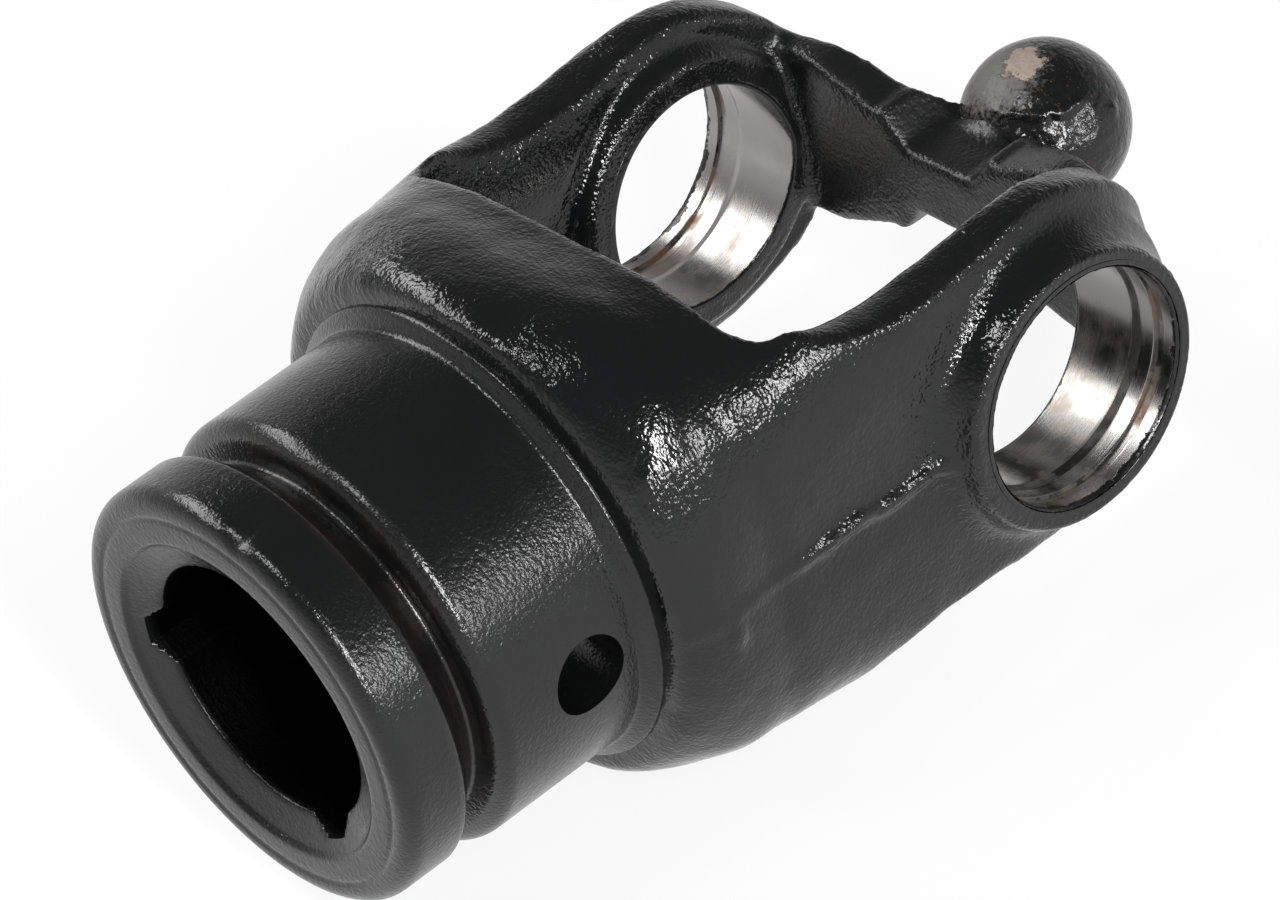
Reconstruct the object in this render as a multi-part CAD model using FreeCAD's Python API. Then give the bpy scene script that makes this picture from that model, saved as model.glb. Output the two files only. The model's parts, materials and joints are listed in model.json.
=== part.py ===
"""Forged yoke of a wide-angle PTO joint: broached hub, two ears for a 30.2 mm cross, bridge and ball.

Millimetres.  X runs along the ear bores, Y along the hub (hub at -Y, ball at +Y), Z is up and
z = 0 is the forging's parting plane.  The origin is the centre of the cross.
"""
import os
import math
import FreeCAD
import Part
from FreeCAD import Vector as V

# ---- overall sizes
SPAN = 85.0              # across the faces of the two ears
HEIGHT = 70.0            # tallest part of the base
CROSS_L = 80.0           # length of the cross between the two snap rings
FACE_X = SPAN / 2        # ear face from the centre of the cross
REACH = SPAN             # length of a cutter that has to pass right through

# ---- ears and their bearing bores
BORE_D = 30.2            # seat of the bearing cap
LEAD_D = 30.9            # bore outside the seat, where the cap is entered
SEAT_END_X = FACE_X - 7.5  # outer end of the seat
LEAD_CHAMFER = 1.1       # length of the cone from seat to lead-in
RING_WALL_X = CROSS_L / 2  # outer wall of the snap-ring groove
RING_W = 1.7
RING_D = 32.0
EAR_R = 24.0             # round end of the leg about the bore
BOSS_R = 18.2            # flat face of the outer boss
BOSS_ROOT_R = 21.8
BOSS_SHIFT = 0.7         # the rough boss sits a little towards the hub
INNER_BOSS_X = FACE_X - 17.7  # inner face of the ear
INNER_BOSS_R = 19.0
INNER_BOSS_ROOT_R = 20.8

# ---- legs
LEG_IN_X = FACE_X - 14.7   # inner face
LEG_OUT_X = FACE_X - 5.1   # outer face at the parting plane
WAIST_Z = 22.6           # half height at the waist
WAIST_Y = -22.0
CROTCH_Y = -39.3         # floor of the fork
CROTCH_R = 5.5
# how far the inner face has flared outwards at each height above the parting plane
LEG_FLARE = ((0, 0), (13, 0), (18, 0.6), (21, 1.7), (24, 2.8), (28, 3.2), (44, 3.4))

# ---- base of the fork
BASE_FRONT_Y = -61.2
BASE_TOP_Z = HEIGHT / 2 - 3.0  # top of the block that the legs are cut from
BASE_X = FACE_X - 5.3

# ---- hub
HUB_R = 29.5
HUB_RIM_Y = -85.3        # rear wall of the ball groove of the guard
HUB_RIM_R = 2.6
SHOULDER_Y = -62.4
SHOULDER_R = 31.6
GROOVE_R = 24.6
GROOVE_W = 0.5           # flat at the bottom of the groove
COLLAR_R = 28.8
COLLAR_BACK_Y = -90.6
COLLAR_FRONT_Y = -99.2
COLLAR_RIM_R = 2.4
RING_MARK_R = 25.3       # fine turned ring on the front face
RING_MARK_W = 0.6
MOUTH_R = 21.4           # mouth of the tube bore
TUBE_R = 17.4
MOUTH_DEPTH = 2.5
LOBES = 3
LOBE_R = 19.9            # crests of the broached lobes
LOBE_CREST_DEG = 11.0
LOBE_FOOT_DEG = 34.0
LOBE_TURN = -1.5         # clocking of the broach
PIN_D = 10.4
PIN_TURN = -3.0          # clocking of the spring-pin hole
PIN_Y = -70.5

# ---- bridge and ball
BRIDGE_FRONT_Y = 17.2
SADDLE_HALF_Z = 4.1
SADDLE_HALF_X = 5.8
RAMP_X = 9.2
RAMP_Z = 8.5
ARM_Z = 13.4             # half height where the arm runs into the ear
BALL_D = 22.0
BALL_Y = 35.6
NECK_R = 10.1


def face_of(points):
    """A face bounded by lines and three-point arcs; an arc is given as a (middle, end) pair."""
    edges, here = [], points[0]
    for step in points[1:]:
        if isinstance(step, tuple):
            edges.append(Part.Arc(here, step[0], step[1]).toShape())
            here = step[1]
        else:
            edges.append(Part.makeLine(here, step))
            here = step
    if here.distanceToPoint(points[0]) > 1e-6:
        edges.append(Part.makeLine(here, points[0]))
    return Part.Face(Part.Wire(edges))


def turned(points, axis):
    """A solid of revolution about a line through the origin."""
    return face_of(points).revolve(V(0, 0, 0), axis, 360)


def section(y, half_x, half_z, power):
    """One closed cross-section of the forging: a superellipse in a plane across the hub axis."""
    points = []
    for i in range(32):
        a = 2 * math.pi * i / 32
        c, s = math.cos(a), math.sin(a)
        x = half_x * math.copysign(abs(c) ** (2 / power), c)
        z = half_z * math.copysign(abs(s) ** (2 / power), s)
        points.append(V(x, y, z))
    curve = Part.BSplineCurve()
    curve.interpolate(points, PeriodicFlag=True)
    return Part.Wire(curve.toShape())


def forging_block():
    """Bell-shaped base running into the outer faces of the two legs."""
    high = HEIGHT / 2
    rows = [
        (BASE_FRONT_Y, BASE_X - 3.4, high - 1.4, 2.0),
        (BASE_FRONT_Y + 1.8, BASE_X - 1.5, high - 0.2, 2.1),
        (BASE_FRONT_Y + 6.0, BASE_X - 0.4, high, 2.4),
        (BASE_FRONT_Y + 12.0, BASE_X, high - 1.0, 3.0),
        (CROTCH_Y - 3.0, BASE_X, BASE_TOP_Z, 3.6),
        (WAIST_Y - 6.0, LEG_OUT_X, BASE_TOP_Z, 4.6),
        (4.0, LEG_OUT_X, BASE_TOP_Z, 5.0),
        (14.0, LEG_OUT_X - 1.6, BASE_TOP_Z, 5.0),
        (EAR_R, LEG_OUT_X - 7.0, BASE_TOP_Z, 5.0),
        (EAR_R + 6.0, LEG_OUT_X - 12.0, BASE_TOP_Z, 5.0),
    ]
    return Part.makeLoft([section(*row) for row in rows], True, False)


def side_outline():
    """The forging seen along the bores: tall base, waisted legs, round ear ends."""
    high = HEIGHT / 2
    upper = [(BASE_FRONT_Y - 5, high + 7), (CROTCH_Y - 8, high + 2.5), (CROTCH_Y, BASE_TOP_Z - 0.3),
             (CROTCH_Y + 8.3, WAIST_Z + 2.6), (WAIST_Y, WAIST_Z), (WAIST_Y + 9, WAIST_Z)]
    upper += [(EAR_R * math.cos(math.radians(a)), EAR_R * math.sin(math.radians(a)))
              for a in (103, 85, 65, 45, 22)]
    half = [V(0, y, z) for y, z in upper]
    curve = Part.BSplineCurve()
    curve.interpolate(half + [V(0, EAR_R, 0)] + [V(0, p.y, -p.z) for p in reversed(half)])
    return Part.Face(Part.Wire([curve.toShape(), Part.makeLine(V(0, half[0].y, -half[0].z), half[0])]))


def gap_outline(x, z):
    """The room between the legs in plan at one height, rounded at each side of its floor."""
    r, k = CROTCH_R, CROTCH_R * (1 - math.sqrt(0.5))
    y = CROTCH_Y
    return face_of([V(-x, FACE_X, z), V(-x, y + r, z), (V(-x + k, y + k, z), V(-x + r, y, z)),
                    V(x - r, y, z), (V(x - k, y + k, z), V(x, y + r, z)), V(x, FACE_X, z)]).OuterWire


def fork_gap():
    """Room between the legs: straight at mid height, flaring out above and below."""
    upper = [gap_outline(LEG_IN_X + flare, z) for z, flare in LEG_FLARE]
    top = Part.makeLoft(upper, True, False)
    return top.fuse(top.mirror(V(0, 0, 0), V(0, 0, 1)))


def legs_and_base():
    """The U of the yoke."""
    side = side_outline()
    side.translate(V(-REACH / 2, 0, 0))
    return forging_block().common(side.extrude(V(REACH, 0, 0))).cut(fork_gap())


def ear_bosses():
    """Raised faces round the bores, outside and inside each ear."""
    parts = []
    middle = (LEG_IN_X + LEG_OUT_X) / 2
    for s in (1, -1):
        outer = [V(s * middle, 0, 0), V(s * FACE_X, 0, 0), V(s * FACE_X, BOSS_R - 1, 0),
                 (V(s * (FACE_X - 0.3), BOSS_R - 0.3, 0), V(s * (FACE_X - 1), BOSS_R, 0)),
                 (V(s * (LEG_OUT_X + 0.9), BOSS_R + 1.4, 0), V(s * (LEG_OUT_X - 1.9), BOSS_ROOT_R, 0)),
                 V(s * middle, BOSS_ROOT_R, 0)]
        inner = [V(s * middle, 0, 0), V(s * INNER_BOSS_X, 0, 0), V(s * INNER_BOSS_X, INNER_BOSS_R, 0),
                 V(s * (LEG_IN_X + 1), INNER_BOSS_ROOT_R, 0), V(s * middle, INNER_BOSS_ROOT_R, 0)]
        boss = turned(outer, V(1, 0, 0))
        boss.translate(V(0, -BOSS_SHIFT, 0))
        parts += [boss, turned(inner, V(1, 0, 0))]
    return parts


def bridge():
    """Arch tying the ear ends: two arms ramped down to a thin flat saddle."""
    half = [V(1.4 - LEG_OUT_X, 0, ARM_Z), V(-FACE_X / 2, 0, ARM_Z - 0.6), V(-RAMP_X, 0, RAMP_Z),
            V(-SADDLE_HALF_X, 0, SADDLE_HALF_Z)]
    top = half + [V(-p.x, 0, p.z) for p in reversed(half)]
    front = face_of(top + [V(p.x, 0, -p.z) for p in reversed(top)])
    front.translate(V(0, BRIDGE_FRONT_Y, 0))
    back, crown = EAR_R - 5.0, BALL_Y - 6.1
    left = [V(-LEG_IN_X - 6, BRIDGE_FRONT_Y, 0), V(-LEG_IN_X - 3.7, back, 0),
            V(-LEG_IN_X + 0.8, back + 2.2, 0), V(-FACE_X * 0.4, back + 4.4, 0),
            V(-RAMP_X, back + 5.6, 0), V(-SADDLE_HALF_X - 0.7, crown, 0)]
    plan = face_of(left + [V(-p.x, p.y, 0) for p in reversed(left)])
    plan.translate(V(0, 0, -BALL_D))
    return front.extrude(V(0, BALL_D, 0)).common(plan.extrude(V(0, 0, 2 * BALL_D)))


def ball():
    """Centring ball on a short neck behind the saddle."""
    neck = turned([V(0, BALL_Y - 9, 0), V(NECK_R - 2, BALL_Y - 7.4, 0), V(NECK_R, BALL_Y - 6, 0),
                   V(NECK_R, BALL_Y - 4.6, 0), V(0, BALL_Y - 1, 0)], V(0, 1, 0))
    return [Part.makeSphere(BALL_D / 2, V(0, BALL_Y, 0)), neck]


def hub():
    """Turned hub: collar with rounded rim, ball groove for the guard, plain body and shoulder."""
    rim, back = COLLAR_RIM_R, HUB_RIM_R
    k, m = rim * (1 - math.sqrt(0.5)), back * (1 - math.sqrt(0.5))
    front, edge = COLLAR_FRONT_Y, HUB_RIM_Y
    mark = [V(RING_MARK_R - RING_MARK_W, front, 0),
            (V(RING_MARK_R, front + 0.3, 0), V(RING_MARK_R + RING_MARK_W, front, 0))]
    return turned([V(0, front, 0)] + mark + [
        V(COLLAR_R - rim, front, 0), (V(COLLAR_R - k, front + k, 0), V(COLLAR_R, front + rim, 0)),
        V(COLLAR_R, COLLAR_BACK_Y, 0), V(GROOVE_R, edge - GROOVE_W, 0), V(GROOVE_R, edge, 0),
        V(HUB_R - back, edge, 0), (V(HUB_R - m, edge + m, 0), V(HUB_R, edge + back, 0)),
        V(HUB_R, SHOULDER_Y - 0.8, 0), (V(HUB_R + 0.3, SHOULDER_Y, 0), V(SHOULDER_R, SHOULDER_Y + 0.8, 0)),
        V(SHOULDER_R, BASE_FRONT_Y + 4, 0), V(0, BASE_FRONT_Y + 4, 0)], V(0, 1, 0))


def tube_bore():
    """Broached three-lobed bore right through into the fork, with a countersunk mouth."""
    length = CROTCH_Y - COLLAR_FRONT_Y + 8
    bore = Part.makeCylinder(TUBE_R, length, V(0, COLLAR_FRONT_Y - 4, 0), V(0, 1, 0))
    mouth = turned([V(0, COLLAR_FRONT_Y - 1, 0), V(MOUTH_R + 1.5, COLLAR_FRONT_Y - 1, 0),
                    V(MOUTH_R, COLLAR_FRONT_Y + 0.6, 0),
                    V(TUBE_R, COLLAR_FRONT_Y + MOUTH_DEPTH, 0), V(0, COLLAR_FRONT_Y + MOUTH_DEPTH, 0)],
                   V(0, 1, 0))
    cutters = [bore, mouth]
    for i in range(LOBES):
        mid = LOBE_TURN + 180 + 360 / LOBES * i

        def at(r, deg):
            a = math.radians(mid + deg)
            return V(r * math.cos(a), COLLAR_FRONT_Y - 4, r * math.sin(a))
        foot, crest = LOBE_FOOT_DEG / 2, LOBE_CREST_DEG / 2
        lobe = face_of([V(0, COLLAR_FRONT_Y - 4, 0), at(TUBE_R - 0.5, -foot), at(LOBE_R, -crest),
                        (at(LOBE_R, 0), at(LOBE_R, crest)), at(TUBE_R - 0.5, foot)])
        cutters.append(lobe.extrude(V(0, length, 0)))
    return cutters


def pin_hole():
    """Cross hole for the spring pin, through both walls of the hub and one lobe."""
    a = math.radians(PIN_TURN)
    along = V(math.cos(a), 0, math.sin(a))
    return Part.makeCylinder(PIN_D / 2, REACH, V(0, PIN_Y, 0) - along * REACH / 2, along)


def ear_bores():
    """Cap seats with lead-in and snap-ring groove, cut through both ears in line."""
    cutters = [Part.makeCylinder(BORE_D / 2, 2 * REACH, V(-REACH, 0, 0), V(1, 0, 0))]
    for s in (1, -1):
        cutters.append(turned([
            V(s * SEAT_END_X, 0, 0), V(s * SEAT_END_X, BORE_D / 2, 0),
            V(s * (SEAT_END_X + LEAD_CHAMFER), LEAD_D / 2, 0), V(s * (RING_WALL_X - RING_W), LEAD_D / 2, 0),
            V(s * (RING_WALL_X - RING_W), RING_D / 2, 0), V(s * RING_WALL_X, RING_D / 2, 0),
            V(s * RING_WALL_X, LEAD_D / 2, 0), V(s * (FACE_X - 0.5), LEAD_D / 2, 0),
            V(s * (FACE_X + 0.5), LEAD_D / 2 + 1, 0), V(s * (FACE_X + 0.5), 0, 0)], V(1, 0, 0)))
    return cutters


def yoke():
    """The whole forging, machined."""
    body = legs_and_base().fuse(ear_bosses() + [bridge(), hub()] + ball())
    return body.cut(tube_bore() + [pin_hole()] + ear_bores()).removeSplitter()


os.makedirs("parts", exist_ok=True)
yoke().exportStep("parts/yoke.step")
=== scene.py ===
"""Forged yoke of a wide-angle joint: raw painted forging, turned hub, bored ears and a worn ball.

Metres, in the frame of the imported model: X runs along the ear bores, Y along the hub, Z is up and
z = 0 is the parting plane of the forging.  Lengths are typed in millimetres times MM.
"""
import json
import logging
import math
from dataclasses import dataclass, field
from enum import Enum

import bmesh
import bpy
import numpy as np
from mathutils import Matrix, Vector


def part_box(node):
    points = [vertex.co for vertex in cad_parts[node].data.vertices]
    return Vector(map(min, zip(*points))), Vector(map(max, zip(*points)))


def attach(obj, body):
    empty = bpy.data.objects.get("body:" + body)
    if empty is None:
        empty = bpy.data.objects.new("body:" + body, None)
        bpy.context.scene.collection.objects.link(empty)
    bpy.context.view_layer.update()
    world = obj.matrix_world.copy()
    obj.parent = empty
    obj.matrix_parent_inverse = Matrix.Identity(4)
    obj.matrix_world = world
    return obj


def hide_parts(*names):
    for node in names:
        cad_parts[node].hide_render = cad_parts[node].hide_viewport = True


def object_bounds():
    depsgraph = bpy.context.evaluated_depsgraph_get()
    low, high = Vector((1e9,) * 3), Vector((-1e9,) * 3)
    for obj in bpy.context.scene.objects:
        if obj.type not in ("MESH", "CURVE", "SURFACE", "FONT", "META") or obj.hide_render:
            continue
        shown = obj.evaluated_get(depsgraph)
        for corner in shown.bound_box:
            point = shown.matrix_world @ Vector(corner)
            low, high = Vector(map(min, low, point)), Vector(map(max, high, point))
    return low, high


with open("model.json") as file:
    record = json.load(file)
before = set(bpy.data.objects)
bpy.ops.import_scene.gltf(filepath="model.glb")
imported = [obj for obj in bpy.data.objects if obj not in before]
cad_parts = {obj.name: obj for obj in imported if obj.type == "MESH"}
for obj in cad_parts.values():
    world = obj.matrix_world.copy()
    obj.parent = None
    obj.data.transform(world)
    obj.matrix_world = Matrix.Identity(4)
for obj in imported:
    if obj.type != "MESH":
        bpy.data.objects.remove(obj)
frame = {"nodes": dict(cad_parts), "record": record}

LOG = logging.getLogger("yoke")
MM = 0.001
NODE = "yoke"
BODY = "root"
MOUNTS = {mount["name"]: mount for mount in frame["record"]["mounts"]}
CAD_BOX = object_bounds()
EAR_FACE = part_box(NODE)[1][0]
HUB_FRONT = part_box(NODE)[0][1]
EAR_INNER = EAR_FACE - 17.7 * MM
BALL_Y = MOUNTS["ball"]["pos_m"][1]
CROSS_BORE_R = MOUNTS["ear_bores"]["dims"]["r_mm"] * MM
DIE_DRAFT = math.tan(math.radians(6.0))
BLACK_PAINT = (0.0044, 0.0046, 0.0049, 1.0)
PAINT_SPECULAR = 0.42
WHITE = (1.0, 1.0, 1.0, 1.0)
SHARP_DEG = 40.0
MERGE_DISTANCE = 2e-6
TINY = 1e-9


class Side(Enum):
    """The two ears."""

    LEFT = -1
    RIGHT = 1


class Mark(Enum):
    """Named measures stored on the vertices of the forging for its paint to read."""

    EDGE = "edge"
    HOLLOW = "hollow"
    DRAG = "drag"


# ---------------------------------------------------------------- numbers over whole arrays


def smooth_step(low: float, high: float, value: np.ndarray) -> np.ndarray:
    """Rise from 0 at low to 1 at high.

    Formula: with t the share of the way from low to high, held between 0 and 1, t * t * (3 - 2 t).

    Args:
        low: Where the rise starts.
        high: Where it ends; below low the rise is a fall.
        value: The numbers to measure.

    Returns:
        An array of the same shape, from 0 to 1.
    """
    share = np.clip((value - low) / (high - low), 0.0, 1.0)
    return share * share * (3.0 - 2.0 * share)


def lattice_noise(points: np.ndarray, cell: float, seed: int) -> np.ndarray:
    """Smooth noise in space.

    Formula: each corner of a cubic lattice has a fixed number mixed from its three indices, and a
    point gets the eight numbers round it, blended by a quintic in each direction.

    Args:
        points: Places, one row each.
        cell: Side of a lattice cube.
        seed: Chooses another set of numbers.

    Returns:
        One number a row, from -1 to 1.
    """
    scaled = points / cell
    base = np.floor(scaled).astype(np.int64)
    part = scaled - base
    part = part ** 3 * (part * (part * 6.0 - 15.0) + 10.0)
    total = np.zeros(len(points))
    for corner in np.ndindex(2, 2, 2):
        index = (base + np.array(corner)).astype(np.uint64)
        mixed = index[:, 0] * np.uint64(73856093) ^ index[:, 1] * np.uint64(19349663)
        mixed ^= index[:, 2] * np.uint64(83492791) ^ np.uint64(seed * 2654435761 % 2 ** 32)
        mixed = (mixed ^ (mixed >> np.uint64(13))) * np.uint64(1274126177)
        number = ((mixed ^ (mixed >> np.uint64(16))) & np.uint64(65535)).astype(float) / 32767.5 - 1.0
        weight = np.prod(np.where(np.array(corner) == 1, part, 1.0 - part), axis=1)
        total += number * weight
    return total


def layered_noise(points: np.ndarray, cell: float, seed: int, layers: int = 3) -> np.ndarray:
    """Sum of lattice noises, each half the size and half the height of the last.

    Args:
        points: Places, one row each.
        cell: Size of the largest bumps.
        seed: Chooses another pattern.
        layers: How many noises are added.

    Returns:
        One number a row, about -1 to 1.
    """
    total = np.zeros(len(points))
    for layer in range(layers):
        total += lattice_noise(points, cell / 2 ** layer, seed + 17 * layer) / 2 ** layer
    return total / (2.0 - 0.5 ** (layers - 1))


def relax(points: np.ndarray, edges: np.ndarray, weight: np.ndarray, passes: int) -> np.ndarray:
    """Smooth values that sit on the vertices of a mesh.

    Formula: in each pass a vertex goes its weight of the way to the mean of its neighbours.

    Args:
        points: One row a vertex, of any width.
        edges: Pairs of vertex numbers.
        weight: One number a vertex, from 0 to 1.
        passes: How often the step is taken.

    Returns:
        The smoothed rows.
    """
    size = len(points)
    first, last = edges[:, 0], edges[:, 1]
    count = np.maximum(np.bincount(edges.ravel(), minlength=size), 1)[:, None]
    for _ in range(passes):
        total = np.stack(
            [np.bincount(first, column[last], size) + np.bincount(last, column[first], size)
             for column in points.T], axis=1)
        points = points + weight[:, None] * (total / count - points)
    return points


def rounded_path(corners: list[tuple[float, float, float]], step: float) -> np.ndarray:
    """Line through corners in a plane, with each corner rounded.

    Formula: the arc at a corner touches both of its sides at radius / tan(half the angle between
    them), and its centre is radius / sin(that half angle) away on the line that halves the corner.

    Args:
        corners: (along, out, radius) of each corner, in metres; the first and last are plain ends.
        step: Longest distance left between two points.

    Returns:
        The points, one (along, out) row each.
    """
    runs = [np.array([corners[0][:2]])]
    for before, here, after in zip(corners, corners[1:], corners[2:]):
        corner, radius = np.array(here[:2]), here[2]
        back = np.array(before[:2]) - corner
        forth = np.array(after[:2]) - corner
        back, forth = back / np.linalg.norm(back), forth / np.linalg.norm(forth)
        half = 0.5 * math.acos(float(np.clip(back @ forth, -1.0, 1.0)))
        middle = (back + forth) / np.linalg.norm(back + forth)
        centre = corner + middle * radius / math.sin(half)
        start = corner + back * radius / math.tan(half) - centre
        end = corner + forth * radius / math.tan(half) - centre
        turn = math.atan2(start[0] * end[1] - start[1] * end[0], float(start @ end))
        angle = np.linspace(0.0, turn, max(2, 2 + int(abs(turn) * radius / (0.35 * step))))
        side = np.array([-start[1], start[0]])
        runs.append(centre + np.cos(angle)[:, None] * start + np.sin(angle)[:, None] * side)
    runs.append(np.array([corners[-1][:2]]))
    joined = np.concatenate(runs)
    length = np.concatenate([[0.0], np.cumsum(np.linalg.norm(np.diff(joined, axis=0), axis=1))])
    filling = np.arange(0.0, length[-1], step)
    gap = np.abs(filling[:, None] - length[None, :]).min(axis=1)
    places = np.sort(np.concatenate([length, filling[gap > 0.4 * step]]))
    return np.stack([np.interp(places, length, joined[:, k]) for k in (0, 1)], axis=1)


# ---------------------------------------------------------------- meshes


def write_merged(source: bpy.types.Mesh, target: bpy.types.Mesh, outwards: bool = False) -> None:
    """Writes one mesh into another, with its doubles merged.

    Args:
        source: The mesh to read.
        target: The mesh to write, which may be the same one.
        outwards: True also turns every face outwards.
    """
    shell = bmesh.new()
    shell.from_mesh(source)
    bmesh.ops.remove_doubles(shell, verts=shell.verts, dist=MERGE_DISTANCE)
    if outwards:
        bmesh.ops.recalc_face_normals(shell, faces=shell.faces)
    shell.to_mesh(target)
    shell.free()


def surface_mesh(name: str, grid: np.ndarray, round_rows: bool,
                 sharp_deg: float = SHARP_DEG) -> bpy.types.Mesh:
    """Closed mesh over a grid of points whose columns go right round.

    Args:
        name: Name of the mesh.
        grid: Points, rows by columns by 3.
        round_rows: True joins the last row to the first; False leaves both as poles.
        sharp_deg: Faces that meet at more than this keep a crisp edge between them.

    Returns:
        The mesh, with doubles merged and its faces pointing outwards.
    """
    rows, columns = grid.shape[:2]
    number = np.arange(rows * columns).reshape(rows, columns)
    upper = number if round_rows else number[:-1]
    lower = np.roll(number, -1, axis=0) if round_rows else number[1:]
    faces = np.stack([upper, np.roll(upper, -1, axis=1), np.roll(lower, -1, axis=1), lower], axis=-1)
    mesh = bpy.data.meshes.new(name)
    mesh.from_pydata(grid.reshape(-1, 3), [], faces.reshape(-1, 4).tolist())
    write_merged(mesh, mesh, outwards=True)
    mesh.shade_smooth()
    mesh.set_sharp_from_angle(angle=math.radians(sharp_deg))
    return mesh


def read_rows(items: bpy.types.bpy_prop_collection, key: str, width: int, kind: type = float) -> np.ndarray:
    """Numbers that a mesh keeps for its vertices or edges.

    Args:
        items: The vertices or edges.
        key: Which of their properties to read.
        width: How many numbers each has.
        kind: Type of the numbers.

    Returns:
        The numbers, one row each.
    """
    rows = np.empty(len(items) * width, dtype=kind)
    items.foreach_get(key, rows)
    return rows.reshape(-1, width)


def read_points(mesh: bpy.types.Mesh) -> np.ndarray:
    """Vertex places of a mesh, one row each."""
    return read_rows(mesh.vertices, "co", 3)


def write_points(mesh: bpy.types.Mesh, points: np.ndarray) -> None:
    """Puts vertex places back into a mesh."""
    mesh.vertices.foreach_set("co", points.ravel())
    mesh.update()


def read_edges(mesh: bpy.types.Mesh) -> np.ndarray:
    """Vertex numbers of each edge, one row each."""
    return read_rows(mesh.edges, "vertices", 2, np.int32)


def read_normals(mesh: bpy.types.Mesh) -> np.ndarray:
    """Vertex normals of a mesh, one row each."""
    return read_rows(mesh.vertices, "normal", 3)


def with_modifiers_applied(piece: bpy.types.Object) -> None:
    """Replaces an object's mesh by the one that its modifiers make, and clears them.

    Args:
        piece: The object, changed in place.
    """
    graph = bpy.context.evaluated_depsgraph_get()
    mesh = bpy.data.meshes.new_from_object(piece.evaluated_get(graph))
    piece.modifiers.clear()
    piece.data = mesh


def add_object(name: str, mesh: bpy.types.Mesh) -> bpy.types.Object:
    """Links a mesh into the scene as an object at the origin.

    Args:
        name: Name of the object.
        mesh: Its mesh.

    Returns:
        The object.
    """
    piece = bpy.data.objects.new(name, mesh)
    bpy.context.scene.collection.objects.link(piece)
    return piece


def place(piece: bpy.types.Object, finish: bpy.types.Material) -> bpy.types.Object:
    """Gives a piece its finish and its body, and reports it.

    Args:
        piece: The new object.
        finish: Material for all of its faces.

    Returns:
        The same object.
    """
    piece.data.materials.clear()
    piece.data.materials.append(finish)
    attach(piece, BODY)
    LOG.info("%s: %d faces, %s", piece.name, len(piece.data.polygons), finish.name)
    return piece


# ---------------------------------------------------------------- node trees


@dataclass
class Tree:
    """A node tree under construction."""

    tree: bpy.types.NodeTree

    def join(self, source: bpy.types.NodeSocket, target: bpy.types.NodeSocket) -> None:
        """Links an output to an input."""
        self.tree.links.new(source, target)

    def feed(self, socket: bpy.types.NodeSocket, value: object) -> None:
        """Gives an input a plain value, or links it where the value is an output.

        Args:
            socket: The input.
            value: A number, a colour or an output socket.
        """
        if isinstance(value, bpy.types.NodeSocket):
            self.join(value, socket)
        else:
            socket.default_value = value

    def add(self, kind: str, inputs: dict[str, object] | None = None, **settings: object) -> bpy.types.Node:
        """Adds a node.

        Args:
            kind: Node type, without the ShaderNode in front.
            inputs: Values, or output sockets to join, by the name or number of the input.
            settings: Properties of the node.

        Returns:
            The node.
        """
        node = self.tree.nodes.new("ShaderNode" + kind)
        for key, value in settings.items():
            setattr(node, key, value)
        for key, value in (inputs or {}).items():
            self.feed(node.inputs[key], value)
        return node

    def math(self, operation: str, first: object, *others: object) -> bpy.types.NodeSocket:
        """Output of Math nodes in a row, each over the last result and the next number or socket.

        Args:
            operation: What the nodes do.
            first: Number or socket to start from.
            others: Numbers or sockets that follow; none for a sum over one number.

        Returns:
            The last output.
        """
        if not others:
            return self.add("Math", {0: first}, operation=operation).outputs[0]
        for term in others:
            first = self.add("Math", {0: first, 1: term}, operation=operation).outputs[0]
        return first

    def plus(self, *terms: object) -> bpy.types.NodeSocket:
        """Sum of numbers and sockets."""
        return self.math("ADD", *terms)

    def times(self, *terms: object) -> bpy.types.NodeSocket:
        """Product of numbers and sockets."""
        return self.math("MULTIPLY", *terms)

    def rescale(self, value: bpy.types.NodeSocket, low: float, high: float,
                to_low: float = 0.0, to_high: float = 1.0) -> bpy.types.NodeSocket:
        """Maps low..high onto to_low..to_high and holds it inside."""
        node = self.add("MapRange", {"Value": value, "From Min": low, "From Max": high,
                                     "To Min": to_low, "To Max": to_high})
        return node.outputs[0]

    def spread(self, noise: bpy.types.NodeSocket, low: float, high: float) -> bpy.types.NodeSocket:
        """Maps the middle of a noise's range onto low..high and holds it inside."""
        return self.rescale(noise, 0.35, 0.65, low, high)

    def within(self, value: bpy.types.NodeSocket, low: float, high: float,
               soft: float) -> bpy.types.NodeSocket:
        """Share that is 1 from low to high and falls to 0 over a soft border outside them."""
        return self.times(self.rescale(value, low - soft, low), self.rescale(value, high + soft, high))

    def blend(self, share: object, first: object, second: object) -> bpy.types.NodeSocket:
        """Colour between two colours."""
        return self.add("Mix", {0: share, 6: first, 7: second}, data_type="RGBA").outputs[2]

    def noise(self, vector: bpy.types.NodeSocket, scale: object, detail: float = 2.0,
              roughness: float = 0.5) -> bpy.types.NodeSocket:
        """Noise from 0 to 1 over a vector."""
        node = self.add("TexNoise", {"Vector": vector, "Scale": scale, "Detail": detail,
                                     "Roughness": roughness})
        return node.outputs[0]


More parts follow.
